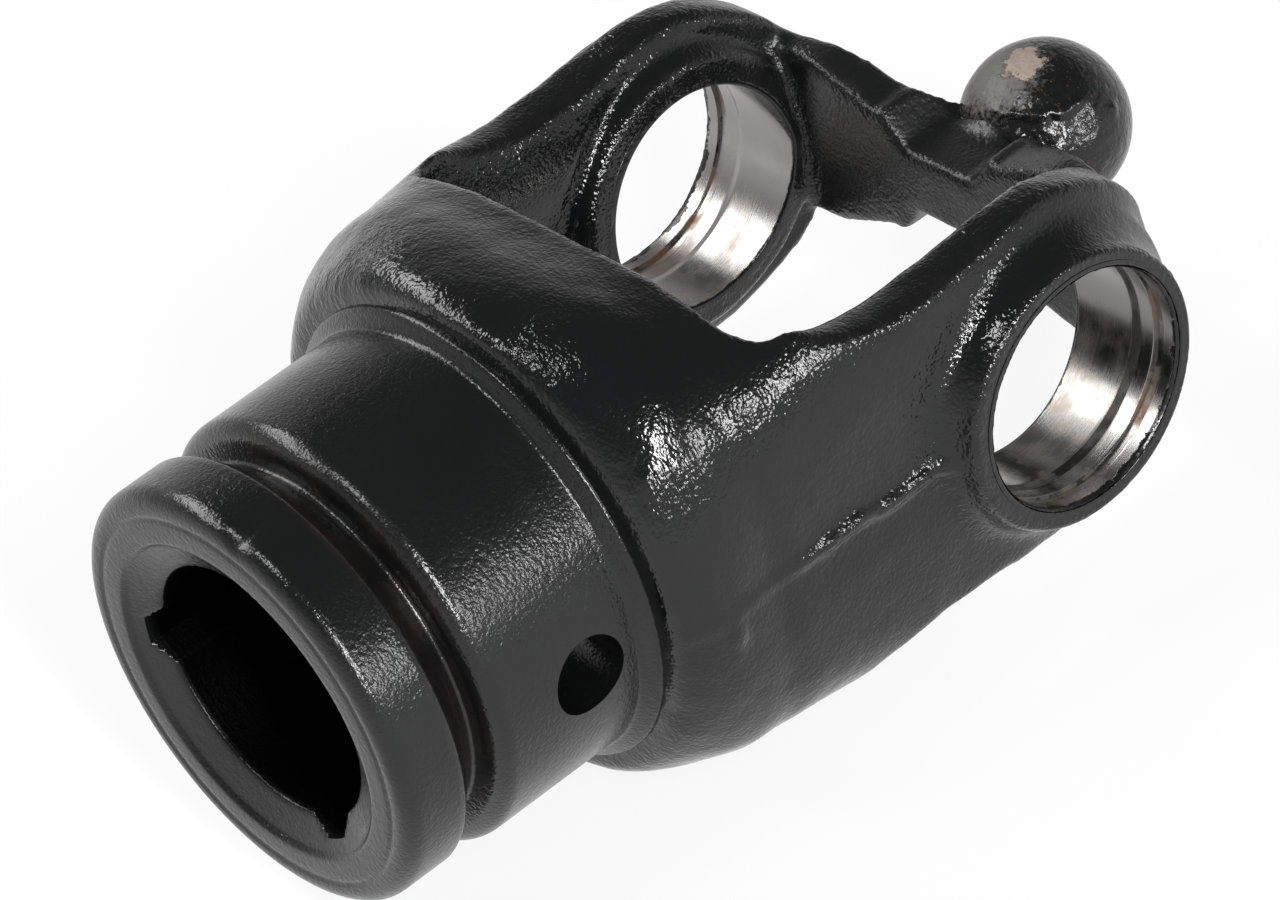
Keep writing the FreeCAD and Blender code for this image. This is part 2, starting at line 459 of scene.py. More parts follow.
def group_with(name: str, inputs: dict[str, float], outputs: list[str]) -> tuple[Tree, dict, dict]:
    """Starts a shader node group that reads a Vector and some numbers.

    Args:
        name: Name of the group.
        inputs: First value of each number input, by name.
        outputs: Names of its number outputs.

    Returns:
        The tree, its input sockets by name and the sockets of its output node by name.
    """
    tree = bpy.data.node_groups.new(name, "ShaderNodeTree")
    tree.interface.new_socket(name="Vector", in_out="INPUT", socket_type="NodeSocketVector")
    for key, value in inputs.items():
        socket = tree.interface.new_socket(name=key, in_out="INPUT", socket_type="NodeSocketFloat")
        socket.default_value = value
    for key in outputs:
        tree.interface.new_socket(name=key, in_out="OUTPUT", socket_type="NodeSocketFloat")
    source = tree.nodes.new("NodeGroupInput").outputs
    target = tree.nodes.new("NodeGroupOutput").inputs
    given = {key: source[key] for key in ("Vector", *inputs)}
    return Tree(tree), given, {key: target[key] for key in outputs}


def grain_group() -> bpy.types.NodeTree:
    """Skin of thick paint over steel: broad peel, fine grain and scattered pits.

    Returns:
        The group, with a Height for bump and a Mottle for gloss.
    """
    tree, given, made = group_with(
        "paint_grain", {"Peel Scale": 600.0, "Grain Scale": 1600.0, "Grain Share": 0.5, "Pit Share": 0.3},
        ["Height", "Mottle"])
    peel = tree.noise(given["Vector"], given["Peel Scale"], 1.0)
    grain = tree.noise(given["Vector"], given["Grain Scale"], 1.0)
    cells = tree.add("TexVoronoi", {"Vector": given["Vector"], "Scale": given["Peel Scale"],
                                    "Randomness": 1.0})
    pits = tree.rescale(cells.outputs["Distance"], 0.05, 0.32, -1.0, 0.0)
    fine = tree.times(grain, given["Grain Share"])
    deep = tree.times(pits, given["Pit Share"])
    broad = tree.noise(given["Vector"], 90.0, 3.0)
    tree.join(tree.plus(peel, fine, deep), made["Height"])
    tree.join(tree.plus(tree.times(broad, 0.6), tree.times(grain, 0.4)), made["Mottle"])
    return tree.tree


def wear_group() -> bpy.types.NodeTree:
    """Paint rubbed thin where an edge stands proud, broken up by noise.

    Returns:
        The group, whose Mask is 1 where the paint is worn.
    """
    tree, given, made = group_with(
        "edge_wear", {"Edge": 0.0, "Amount": 0.5, "Patch Scale": 400.0}, ["Mask"])
    patch = tree.noise(given["Vector"], given["Patch Scale"], 4.0, 0.65)
    raised = tree.times(given["Edge"], given["Amount"])
    tree.join(tree.times(raised, tree.rescale(patch, 0.42, 0.62)), made["Mask"])
    return tree.tree


@dataclass
class Groups:
    """Node groups that several finishes share, each built once."""

    grain: bpy.types.NodeTree = field(default_factory=grain_group)
    wear: bpy.types.NodeTree = field(default_factory=wear_group)


class Coat(Tree):
    """A material under construction: its tree, its Principled shader and its Object coordinates."""

    def __init__(self, name: str) -> None:
        """Starts the material.

        Args:
            name: Name of the material.
        """
        self.material = bpy.data.materials.new(name)
        self.material.use_nodes = True
        super().__init__(self.material.node_tree)
        self.shader = self.tree.nodes["Principled BSDF"]
        self.shader.inputs["Specular IOR Level"].default_value = PAINT_SPECULAR
        self.place_at = self.add("TexCoord").outputs["Object"]

    def mark(self, mark: Mark) -> bpy.types.NodeSocket:
        """A measure that is stored on the vertices of the piece."""
        return self.add("Attribute", attribute_name=mark.value).outputs["Fac"]

    def finished(self, colour: bpy.types.NodeSocket, gloss: bpy.types.NodeSocket,
                 height: bpy.types.NodeSocket, relief: float, strength: float = 1.0) -> bpy.types.Material:
        """Joins the coat's patterns to its shader.

        Args:
            colour: Base colour.
            gloss: Roughness.
            height: Height of the bump.
            relief: Depth that a height of 1 stands for.
            strength: Share of the bump that is shown.

        Returns:
            The material.
        """
        self.join(colour, self.shader.inputs["Base Color"])
        self.join(gloss, self.shader.inputs["Roughness"])
        bump = self.add("Bump", {"Height": height, "Strength": strength, "Distance": relief})
        self.join(bump.outputs[0], self.shader.inputs["Normal"])
        return self.material


@dataclass(frozen=True)
class Grain:
    """How coarse a coat's skin is: bumps a metre, and the share that fine grain and pits have."""

    peel: float
    fine: float = 1600.0
    fine_share: float = 0.5
    pit_share: float = 0.3

    def laid(self, coat: Coat, groups: Groups) -> tuple[bpy.types.NodeSocket, bpy.types.NodeSocket]:
        """Adds the shared grain to a coat.

        Args:
            coat: The material.
            groups: The shared node groups.

        Returns:
            Its height and its mottle.
        """
        node = coat.add("Group", {"Vector": coat.place_at, "Peel Scale": self.peel,
                                  "Grain Scale": self.fine, "Grain Share": self.fine_share,
                                  "Pit Share": self.pit_share}, node_tree=groups.grain)
        return node.outputs["Height"], node.outputs["Mottle"]


# ---------------------------------------------------------------- finishes
# A tuple that goes to noise() is its bumps a metre, its detail and its roughness.


@dataclass(frozen=True)
class ForgedPaint:
    """Thick black paint on the raw forging, grainier in the hollows, with drag marks from trimming."""

    black: tuple = (0.0042, 0.0044, 0.0047, 1.0)
    thin: tuple = (0.016, 0.015, 0.014, 1.0)
    grain: Grain = Grain(1150.0, 2300.0, 0.6, 0.25)
    gloss: tuple = (0.07, 0.18)
    dull_bridge: float = 0.22
    bridge_y: tuple = (6.0 * MM, 18.0 * MM)
    relief: float = 0.40 * MM
    plain_relief: float = 0.17
    hollow_relief: float = 0.55
    edge_relief: float = 0.3
    drag_relief: float = 1.1
    drag_turn: float = 0.42
    drag_stretch: float = 0.07
    streaks: tuple = (900.0, 2.5, 0.6)
    worn: float = 0.5

    def build(self, groups: Groups) -> bpy.types.Material:
        """Builds the material.

        Args:
            groups: The shared node groups.

        Returns:
            The material.
        """
        coat = Coat("forged_paint")
        grain, mottle = self.grain.laid(coat, groups)
        hollow, edge, drag = (coat.mark(mark) for mark in (Mark.HOLLOW, Mark.EDGE, Mark.DRAG))
        wear = coat.add("Group", {"Vector": coat.place_at, "Edge": edge, "Amount": self.worn},
                        node_tree=groups.wear)
        colour = coat.blend(wear.outputs["Mask"], self.black, self.thin)
        along = coat.add("SeparateXYZ", {0: coat.place_at}).outputs[1]
        gloss = coat.plus(coat.spread(mottle, *self.gloss),
                          coat.rescale(along, *self.bridge_y, 0.0, self.dull_bridge))
        turned = coat.add("Mapping", {"Vector": coat.place_at, "Rotation": (0.0, self.drag_turn, 0.0)})
        stretched = coat.add("Mapping", {"Vector": turned.outputs[0],
                                         "Scale": (1.0, 1.0, self.drag_stretch)})
        streaks = coat.noise(stretched.outputs[0], *self.streaks)
        depth = coat.plus(self.plain_relief, coat.times(hollow, self.hollow_relief),
                          coat.times(edge, self.edge_relief))
        height = coat.plus(coat.times(grain, depth), coat.times(streaks, drag, self.drag_relief))
        return coat.finished(colour, gloss, height, self.relief)


@dataclass(frozen=True)
class TurnedPaint:
    """Smoother black paint over the turned hub: faint tool rings, a rusty groove and painted shade deep in
    the bore.
    """

    black: tuple = BLACK_PAINT
    brown: tuple = (0.040, 0.026, 0.018, 1.0)
    # Near-black colour of the painted shade deep inside the hub's bore.
    bore_painted_shade: tuple = (0.003, 0.003, 0.003, 1.0)
    grain: Grain = Grain(1300.0, 2900.0, 0.8, 0.2)
    gloss: tuple = (0.15, 0.27)
    bore_dull: float = 0.5
    rust_amount: float = 0.16
    rust_patch: float = 160.0
    rings: tuple = (2600.0, 2.0)
    strength: float = 0.9
    relief: float = 0.07 * MM
    ring_relief: float = 0.35
    groove_y: tuple = (HUB_FRONT + 8.6 * MM, HUB_FRONT + 14.2 * MM)
    outside_r: tuple = (23.0 * MM, 24.0 * MM)
    bore_r: tuple = (21.5 * MM, 20.5 * MM)
    bore_y: tuple = (HUB_FRONT + 2.0 * MM, HUB_FRONT + 3.2 * MM)

    def build(self, groups: Groups) -> bpy.types.Material:
        """Builds the material.

        Args:
            groups: The shared node groups.

        Returns:
            The material.
        """
        coat = Coat("turned_paint")
        grain, mottle = self.grain.laid(coat, groups)
        across, along, up = coat.add("SeparateXYZ", {0: coat.place_at}).outputs
        out = coat.math("SQRT", coat.plus(coat.math("POWER", across, 2.0), coat.math("POWER", up, 2.0)))
        rings = coat.noise(coat.add("CombineXYZ", {1: along}).outputs[0], *self.rings)
        height = coat.plus(grain, coat.times(rings, self.ring_relief))
        rust = coat.add("Group", {"Vector": coat.place_at, "Edge": 1.0, "Amount": self.rust_amount,
                                  "Patch Scale": self.rust_patch}, node_tree=groups.wear)
        rusty = coat.times(coat.within(along, *self.groove_y, MM), coat.rescale(out, *self.outside_r),
                           rust.outputs["Mask"])
        # Painted shade: deep in the bore the paint turns to near-black, dull metal that stands in for the
        # shade inside it.
        bore = coat.times(coat.rescale(out, *self.bore_r), coat.rescale(along, *self.bore_y))
        gloss = coat.math("MAXIMUM", coat.spread(mottle, *self.gloss),
                          coat.times(bore, self.bore_dull))
        colour = coat.blend(bore, coat.blend(rusty, self.black, self.brown), self.bore_painted_shade)
        coat.join(bore, coat.shader.inputs["Metallic"])
        return coat.finished(colour, gloss, height, self.relief, self.strength)


@dataclass(frozen=True)
class BoredSteel:
    """Bare bored steel inside the ears, with paint sprayed over its rims in a ragged line."""

    steel: tuple = (0.29, 0.286, 0.278, 1.0)
    rust: tuple = (0.16, 0.085, 0.045, 1.0)
    paint: tuple = BLACK_PAINT
    grain: Grain = Grain(800.0)
    paint_relief: float = 1.2
    ring_relief: float = 0.10
    relief: float = 0.08 * MM
    ring_gloss: tuple = (0.17, 0.27)
    low_rust: float = 0.45
    groove_rust: float = 0.75
    rust_dull: float = 0.3
    rust_metal: float = 0.6
    strength: float = 0.8
    rings: tuple = (5200.0, 2.0)
    patches: tuple = (220.0, 4.0, 0.6)
    patch_from: tuple = (0.42, 0.68)
    ragged: tuple = (260.0, 5.0, 0.7)
    raggedness: float = 4.2 * MM
    inner_raggedness: float = 0.35
    border: float = 0.1 * MM
    paint_from: float = 41.55 * MM
    paint_to: float = EAR_FACE - 17.2 * MM
    lean: float = 0.10
    run_in: float = 3.2 * MM
    run_in_z: tuple = (0.0, 5.0 * MM)
    groove: tuple = (38.25 * MM, 40.05 * MM)

    def painted(self, coat: Coat, depth: bpy.types.NodeSocket,
                up: bpy.types.NodeSocket) -> bpy.types.NodeSocket:
        """Share of paint: over the outer rim, and over the inner end, furthest in at its top.

        Args:
            coat: The material.
            depth: Distance from the plane between the ears.
            up: Height over the parting plane.

        Returns:
            The share.
        """
        noise = coat.noise(coat.place_at, *self.ragged)
        ragged = coat.times(coat.math("SUBTRACT", noise, 0.5), self.raggedness)
        outer = coat.rescale(coat.plus(depth, ragged), self.paint_from, self.paint_from + self.border)
        lean = coat.times(coat.math("ABSOLUTE", up), self.lean)
        run_in = coat.times(coat.rescale(up, *self.run_in_z), self.run_in)
        limit = coat.plus(self.paint_to, lean, run_in, coat.times(ragged, self.inner_raggedness))
        inner = coat.rescale(coat.math("SUBTRACT", limit, depth), -self.border, self.border)
        return coat.math("MAXIMUM", outer, inner)

    def build(self, groups: Groups) -> bpy.types.Material:
        """Builds the material.

        Args:
            groups: The shared node groups.

        Returns:
            The material.
        """
        coat = Coat("bored_steel")
        across, _, up = coat.add("SeparateXYZ", {0: coat.place_at}).outputs
        depth = coat.math("ABSOLUTE", across)
        painted = self.painted(coat, depth, up)
        patches = coat.rescale(coat.noise(coat.place_at, *self.patches), *self.patch_from)
        low = coat.times(coat.rescale(up, 0.0, -CROSS_BORE_R), self.low_rust)
        ringed = coat.times(coat.within(depth, *self.groove, self.border), self.groove_rust)
        stain = coat.times(patches, coat.plus(low, ringed))
        rings = coat.noise(coat.add("CombineXYZ", {0: across}).outputs[0], *self.rings)
        colour = coat.blend(painted, coat.blend(stain, self.steel, self.rust), self.paint)
        covered = coat.math("MAXIMUM", painted, coat.times(stain, self.rust_metal))
        coat.join(coat.math("SUBTRACT", 1.0, covered), coat.shader.inputs["Metallic"])
        gloss = coat.plus(coat.spread(rings, *self.ring_gloss), coat.times(stain, self.rust_dull))
        grain, _ = self.grain.laid(coat, groups)
        height = coat.plus(coat.times(rings, self.ring_relief),
                           coat.times(grain, painted, self.paint_relief))
        return coat.finished(colour, gloss, height, self.relief, self.strength)


@dataclass(frozen=True)
class BallPaint:
    """Black paint on the ball, knocked through to pale metal on its crown, with rust specks."""

    centre: tuple
    radius: float
    black: tuple = BLACK_PAINT
    scuffed: tuple = (0.115, 0.110, 0.100, 1.0)
    bare: tuple = (0.30, 0.265, 0.232, 1.0)
    bare_brown: tuple = (0.20, 0.13, 0.095, 1.0)
    speck: tuple = (0.10, 0.05, 0.025, 1.0)
    grain: Grain = Grain(650.0, 1900.0)
    gloss: tuple = (0.16, 0.28)
    worn_dull: float = 0.3
    relief: float = 0.16 * MM
    bare_depth: float = 1.2
    crown: tuple = (-0.02, -0.17, 0.985)
    crown_size: float = 4.8 * MM
    scuff: tuple = (-0.22, -0.40, 0.89)
    scuff_size: float = 9.0 * MM
    ragged: tuple = (420.0, 6.0, 0.72)
    raggedness: float = 1.6
    fine: tuple = (1500.0, 4.0, 0.7)
    fineness: float = 1.3
    specks: tuple = (2100.0, 1.0)
    bare_from: tuple = (1.16, 1.24)
    scuff_from: tuple = (0.88, 1.25)
    speck_from: tuple = (0.70, 0.73)
    scuff_share: float = 0.8
    speck_share: float = 0.5

    def near(self, coat: Coat, towards: tuple, size: float) -> bpy.types.NodeSocket:
        """Share that falls from 1 at a spot on the ball to 0 at its rim.

        Args:
            coat: The material.
            towards: Direction of the spot from the centre.
            size: Radius of the spot.

        Returns:
            The share.
        """
        spot = tuple(c + self.radius * t for c, t in zip(self.centre, towards))
        away = coat.add("VectorMath", {0: coat.place_at, 1: spot}, operation="DISTANCE").outputs["Value"]
        return coat.rescale(away, size, 0.0)

    def build(self, groups: Groups) -> bpy.types.Material:
        """Builds the material.

        Args:
            groups: The shared node groups.

        Returns:
            The material.
        """
        coat = Coat("ball_paint")
        grain, mottle = self.grain.laid(coat, groups)
        ragged = coat.noise(coat.place_at, *self.ragged)
        fine = coat.noise(coat.place_at, *self.fine)
        crown = self.near(coat, self.crown, self.crown_size)
        bare = coat.rescale(coat.plus(crown, coat.times(ragged, self.raggedness)), *self.bare_from)
        rubbed = self.near(coat, self.scuff, self.scuff_size)
        scuff = coat.rescale(coat.plus(rubbed, coat.times(fine, self.fineness)), *self.scuff_from)
        specks = coat.rescale(coat.noise(coat.place_at, *self.specks), *self.speck_from)
        colour = coat.blend(coat.times(scuff, self.scuff_share), self.black, self.scuffed)
        colour = coat.blend(coat.times(specks, self.speck_share), colour, self.speck)
        colour = coat.blend(bare, colour, coat.blend(fine, self.bare, self.bare_brown))
        gloss = coat.plus(coat.spread(mottle, *self.gloss),
                          coat.times(coat.math("MAXIMUM", scuff, bare), self.worn_dull))
        height = coat.math("SUBTRACT", grain, coat.times(bare, self.bare_depth))
        return coat.finished(colour, gloss, height, self.relief)


# ---------------------------------------------------------------- sub-assemblies


@dataclass
class RawForging:
    """Base, legs, ears and bridge as the dies left them: every edge rounded, the skin uneven.

    A pair is where a share is 0 and where it is full: x, y and z are measured along the axes, r from
    the axis of the ears. A cell is the size of a noise's largest bumps.
    """

    voxel: float = 0.65 * MM
    rounding_passes: int = 15
    face_hold: float = 0.85
    bridge_hold: float = 0.5
    shoulder_y: float = HUB_FRONT + 37.9 * MM
    stub_r: float = 26.0 * MM
    stub_share: float = 0.05
    bore_gap: float = 0.9 * MM
    bore_zone_r: float = 22.0 * MM
    bore_zone_y: float = -33.0 * MM
    ear_zone_r: float = 16.2 * MM
    ear_zone_x: float = 20.0 * MM
    ear_gap_r: float = 16.5 * MM
    ear_lip_r: float = 15.6 * MM
    ear_lip: float = 0.7 * MM
    ear_inner_x: float = EAR_INNER
    ball_y: float = BALL_Y
    ball_core_r: float = 10.3 * MM
    ball_zone_r: float = 12.4 * MM
    ball_zone_y: float = 9.0 * MM
    boss_x: tuple = (38.0 * MM, 40.5 * MM)
    rim_r: tuple = (20.5 * MM, 18.6 * MM)
    rim_x: tuple = (22.0 * MM, 24.0 * MM)
    bridge_y: tuple = (12.0 * MM, 17.0 * MM)
    flat_r: tuple = (18.6 * MM, 17.2 * MM)
    flat_depth: float = 1.7 * MM
    flat_inset: float = 0.03 * MM
    draft: float = DIE_DRAFT
    draft_from_x: tuple = (32.0 * MM, 25.5 * MM)
    draft_to_x: tuple = (20.0 * MM, 22.0 * MM)
    draft_r: tuple = (23.0 * MM, 19.5 * MM)
    unevenness: float = 0.18 * MM
    skin_cell: float = 9.0 * MM
    scale_cell: float = 3.0 * MM
    scale_share: float = 0.3
    turned_evenness: float = 0.8
    turned_r: tuple = (19.5 * MM, 18.0 * MM)
    turned_x: tuple = (39.0 * MM, 41.0 * MM)
    flash_height: float = 1.15 * MM
    flash_width: float = 1.05 * MM
    flash_wander: float = 0.9 * MM
    wander_cell: float = 7.0 * MM
    flash_cell: float = 2.4 * MM
    flash_facing: tuple = (0.25, 0.6)
    flash_x: tuple = (33.0 * MM, 35.5 * MM)
    flash_r: tuple = (18.8 * MM, 21.0 * MM)
    flash_y: tuple = (-49.0 * MM, -38.0 * MM)
    flank_x: tuple = (24.0 * MM, 31.0 * MM)
    swell: float = 0.45 * MM
    swell_y: float = -55.0 * MM
    swell_width: float = 4.5 * MM
    valley: float = 0.35 * MM
    valley_y: float = -47.0 * MM
    valley_width: float = 2.6 * MM
    run_at: tuple = (36.5 * MM, -54.0 * MM, -3.0 * MM)
    run_size: tuple = (4.0 * MM, 1.1 * MM, 1.9 * MM)
    run_height: float = 0.55 * MM
    plate_lift: float = 0.8 * MM
    plate_x: tuple = (11.5 * MM, 9.0 * MM)
    plate_front_y: tuple = (15.0 * MM, 17.5 * MM)
    plate_back_y: tuple = (27.5 * MM, 25.6 * MM)
    skin_inset: float = 0.09 * MM
    drag_y: float = -56.5 * MM
    drag_width: float = 5.0 * MM
    drag_corner: tuple = (7.0 * MM, 14.0 * MM)
    drag_z: tuple = (2.0 * MM, 9.0 * MM)
    drag_cell: float = 8.0 * MM
    drag_from: tuple = (-0.5, 0.1)
    edge_bend: tuple = (0.25, 1.1)
    hollow_bend: tuple = (0.15, 1.0)

    def cleared_solid(self) -> bpy.types.Mesh:
        """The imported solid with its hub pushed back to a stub, its ear bores opened and its ball shrunk.

        The turned hub, the bored seats and the ball are pieces of their own that fill these places.
        Formula: a point in one of these zones keeps its direction from the zone's axis or centre and
        gets another distance from it, and the hub is also pressed together along its axis.

        Returns:
            A merged copy of the mesh.
        """
        mesh = bpy.data.meshes.new("forging")
        write_merged(frame["nodes"][NODE].data, mesh)
        points = read_points(mesh)
        around_hub = np.hypot(points[:, 0], points[:, 2])
        in_bore = (around_hub < self.bore_zone_r) & (points[:, 1] < self.bore_zone_y)
        behind = points[:, 1] < self.shoulder_y
        target = np.where(in_bore, around_hub + self.bore_gap, np.minimum(around_hub, self.stub_r))
        scale = np.where(in_bore | behind, target / np.maximum(around_hub, TINY), 1.0)
        points[:, (0, 2)] *= scale[:, None]
        stub_y = self.shoulder_y + self.stub_share * (points[:, 1] - self.shoulder_y)
        points[:, 1] = np.where(behind, stub_y, points[:, 1])
        around_ear = np.hypot(points[:, 1], points[:, 2])
        depth = np.abs(points[:, 0])
        in_ear = (around_ear < self.ear_zone_r) & (depth > self.ear_zone_x)
        at_face = (depth > EAR_FACE - self.ear_lip) | (depth < self.ear_inner_x + self.ear_lip)
        opened = np.where(at_face, self.ear_lip_r, self.ear_gap_r)
        scale = np.where(in_ear, opened / np.maximum(around_ear, TINY), 1.0)
        points[:, 1:] *= scale[:, None]
        away = points - [0.0, self.ball_y, 0.0]
        reach = np.linalg.norm(away, axis=1)
        on_ball = (reach < self.ball_zone_r) & (points[:, 1] > self.ball_y - self.ball_zone_y)
        shrunk = np.where(on_ball, np.minimum(reach, self.ball_core_r) / np.maximum(reach, TINY), 1.0)
        write_points(mesh, away * shrunk[:, None] + [0.0, self.ball_y, 0.0])
        return mesh

    def rounded(self, mesh: bpy.types.Mesh) -> None:
        """Rounds every edge and hollow, less on the bridge and least about the ears' flat faces.

        Args:
            mesh: The even mesh, changed in place.
        """
        points, edges = read_points(mesh), read_edges(mesh)
        around_ear, depth = np.hypot(points[:, 1], points[:, 2]), np.abs(points[:, 0])
        boss = smooth_step(*self.boss_x, depth)
        rim = smooth_step(*self.rim_r, around_ear) * smooth_step(*self.rim_x, depth)
        crisp = self.bridge_hold * smooth_step(*self.bridge_y, points[:, 1])
        weight = 0.5 * (1.0 - np.maximum(self.face_hold * np.maximum(boss, rim), crisp))
        points = relax(points, edges, weight, self.rounding_passes)
        side, depth = np.sign(points[:, 0]), np.abs(points[:, 0])
        flat = smooth_step(*self.flat_r, np.hypot(points[:, 1], points[:, 2]))
        outer, inner = EAR_FACE - self.flat_inset, self.ear_inner_x + self.flat_inset
        depth = depth + (outer - depth) * flat * (depth > EAR_FACE - self.flat_depth)
        depth = depth + (inner - depth) * flat * (depth < inner + self.flat_depth) * (depth > inner - MM)
        points[:, 0] = side * depth
        write_points(mesh, points)

    def drafted(self, mesh: bpy.types.Mesh) -> None:
        """Leans the inner faces of the ears outwards from the parting plane, as dies leave them.

        Args:
            mesh: The rounded mesh, changed in place.
        """
        points = read_points(mesh)
        side, depth = np.sign(points[:, 0]), np.abs(points[:, 0])
        share = smooth_step(*self.draft_from_x, depth) * smooth_step(*self.draft_to_x, depth)
        share *= smooth_step(*self.draft_r, np.hypot(points[:, 1], points[:, 2]))
        points[:, 0] += side * share * self.draft * np.abs(points[:, 2])
        write_points(mesh, points)

    def uneven(self, mesh: bpy.types.Mesh) -> None:
        """Lays scale, the flash line and a paint run over the skin, and lifts the plate of the bridge.

        Formula: each vertex moves along its normal by layered noise, plus on the outside of the legs
        a ridge that falls off with the cube of the distance from the parting plane, a swell and a
        valley that are bell curves along the hub axis, and a run that is a bell curve in space.

        Args:
            mesh: The rounded mesh, changed in place.
        """
        points, normals = read_points(mesh), read_normals(mesh)
        around_ear = np.hypot(points[:, 1], points[:, 2])
        depth, along = np.abs(points[:, 0]), points[:, 1]
        turned = smooth_step(*self.turned_r, around_ear) * smooth_step(*self.turned_x, depth)
        skin = layered_noise(points, self.skin_cell, 3)
        skin += self.scale_share * layered_noise(points, self.scale_cell, 11, 2)
        move = self.unevenness * skin * (1.0 - self.turned_evenness * turned)
        wander = self.flash_wander * lattice_noise(points * [0, 1, 0], self.wander_cell, 5)
        ridge = np.exp(-np.abs((points[:, 2] - wander) / self.flash_width) ** 3)
        outside = smooth_step(*self.flash_x, depth) * smooth_step(*self.flash_r, around_ear)
        outside *= smooth_step(*self.flash_facing, np.abs(normals[:, 0]))
        outside *= 0.2 + 0.8 * smooth_step(*self.flash_y, along)
        broken = 0.85 + 0.35 * layered_noise(points, self.flash_cell, 23)
        move += self.flash_height * ridge * outside * broken
        flank = smooth_step(*self.flank_x, depth)
        move += self.swell * flank * np.exp(-((along - self.swell_y) / self.swell_width) ** 2)
        move -= self.valley * flank * np.exp(-((along - self.valley_y) / self.valley_width) ** 2)
        run = (points - self.run_at) / self.run_size
        move += self.run_height * np.exp(-(run ** 2).sum(axis=1))
        points += normals * move[:, None]
        plate = smooth_step(*self.plate_x, depth) * smooth_step(*self.plate_front_y, points[:, 1])
        plate *= smooth_step(*self.plate_back_y, points[:, 1])
        points[:, 2] += self.plate_lift * plate * np.sign(points[:, 2])
        low, high = np.array(CAD_BOX[0]), np.array(CAD_BOX[1])
        inset = np.array([self.skin_inset, 0.0, 0.0])
        write_points(mesh, np.clip(points, low + inset, high - inset))

    def marked(self, mesh: bpy.types.Mesh) -> None:
        """Stores where edges stand proud, where the skin is hollow and where trimming dragged it.

        Formula: the bend is how far the mean of a vertex's neighbours lies out along its normal, and
        the drag is a bell curve along the hub axis, held to the upper corners and broken by noise.

        Args:
            mesh: The finished mesh, given three vertex attributes.
        """
        points, edges, normals = read_points(mesh), read_edges(mesh), read_normals(mesh)
        everywhere = np.ones(len(points))
        lifted = relax(points, edges, everywhere, 1) - points
        bend = np.einsum("ij,ij->i", lifted, normals)[:, None]
        bend = relax(bend, edges, 0.5 * everywhere, 12)[:, 0]
        bend /= np.percentile(np.abs(bend), 97.0)
        rim = np.exp(-((points[:, 1] - self.drag_y) / self.drag_width) ** 2)
        corner = smooth_step(*self.drag_corner, np.minimum(np.abs(points[:, 0]), np.abs(points[:, 2])))
        drag = rim * corner * smooth_step(*self.drag_from, lattice_noise(points, self.drag_cell, 41))
        drag *= smooth_step(*self.drag_z, points[:, 2])
        values = {Mark.EDGE: smooth_step(*self.edge_bend, -bend),
                  Mark.HOLLOW: smooth_step(*self.hollow_bend, bend),
                  Mark.DRAG: drag}
        for mark, value in values.items():
            layer = mesh.attributes.new(mark.value, "FLOAT", "POINT")
            layer.data.foreach_set("value", value.astype(np.float32))

    def build(self, finish: bpy.types.Material) -> bpy.types.Object:
        """Builds the forging: an even skin over the cleared solid, which is then worked.

        Args:
            finish: Its paint.

        Returns:
            The object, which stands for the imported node.
        """
        piece = add_object("forging", self.cleared_solid())
        remesh = piece.modifiers.new("even_mesh", "REMESH")
        remesh.mode = "VOXEL"
        remesh.voxel_size = self.voxel
        remesh.use_smooth_shade = True
        with_modifiers_applied(piece)
        for work in (self.rounded, self.drafted, self.uneven, self.marked):
            work(piece.data)
        piece.data.shade_smooth()
        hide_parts(NODE)
        return place(piece, finish)


